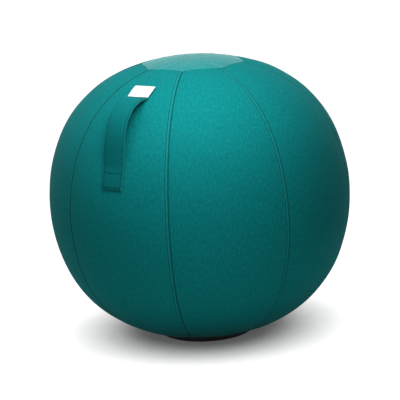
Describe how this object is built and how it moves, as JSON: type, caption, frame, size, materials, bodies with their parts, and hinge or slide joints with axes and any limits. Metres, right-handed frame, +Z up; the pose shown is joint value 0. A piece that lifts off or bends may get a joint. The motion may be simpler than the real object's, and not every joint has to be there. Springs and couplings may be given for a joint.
{
  "type": "exercise ball",
  "caption": "Covered exercise ball with a flat stabilised base, a sewn carrying handle and a zip cover.",
  "frame": {"origin": "on the floor, under the centre of the ball", "axes": "+Z up; the handle faces -Y, so +Y points to the back of the ball, where the zip runs round the base; +X is to the right of someone who faces the handle"},
  "size_m": [0.6422, 0.6423, 0.6],
  "materials": {
    "cover_fabric": "melange felted upholstery fabric, petrol",
    "handle_fabric": "melange felted upholstery fabric, dark petrol",
    "label_fabric": "plain woven label tape, white",
    "webbing": "woven polypropylene webbing, black",
    "base_leather": "grained non-slip synthetic leather, black",
    "ring_rubber": "moulded rubber, black",
    "bladder_pvc": "soft PVC film, dark grey",
    "valve_plastic": "moulded, white",
    "zip_tape": "woven polyester tape, black",
    "zip_coil": "nylon coil, black",
    "zip_metal": "nickel-plated zinc"
  },
  "bodies": {
    "ball": {"bladder": "bladder_pvc", "valve_seat": "valve_plastic", "base_ring": "ring_rubber", "base_panel": "base_leather", "gore_1": "cover_fabric", "gore_2": "cover_fabric", "gore_3": "cover_fabric", "gore_4": "cover_fabric", "gore_5": "cover_fabric", "gore_6": "cover_fabric", "gore_7": "cover_fabric", "gore_8": "cover_fabric", "top_cap": "cover_fabric", "handle_face": "handle_fabric", "handle_core": "webbing", "handle_back": "handle_fabric", "label": "label_fabric", "zip_tape_lower": "zip_tape", "zip_tape_upper": "zip_tape", "zip_chain_lower": "zip_coil", "zip_chain_upper": "zip_coil", "zip_stop_closed": "zip_metal", "zip_stop_open": "zip_metal"},
    "plug": {"valve_plug": "valve_plastic"},
    "slider": {"zip_slider": "zip_metal"},
    "pull": {"zip_pull": "zip_metal"}
  },
  "joints": [
    {"name": "zip_slide", "type": "hinge", "parent": "ball", "child": "slider", "pos_m": [0, 0, 0.02], "axis": [0, 0, -1], "range_deg": [0, 126.36]},
    {"name": "pull_swing", "type": "hinge", "parent": "slider", "child": "pull", "pos_m": [-0.11507, 0.05811, 0.01639], "axis": [-0.8539, 0.4312, 0.2913], "range_deg": [-78, 78]},
    {"name": "plug_pull", "type": "slide", "parent": "ball", "child": "plug", "axis": [0, 0, -1], "range_m": [0, 0.0125]}
  ]
}
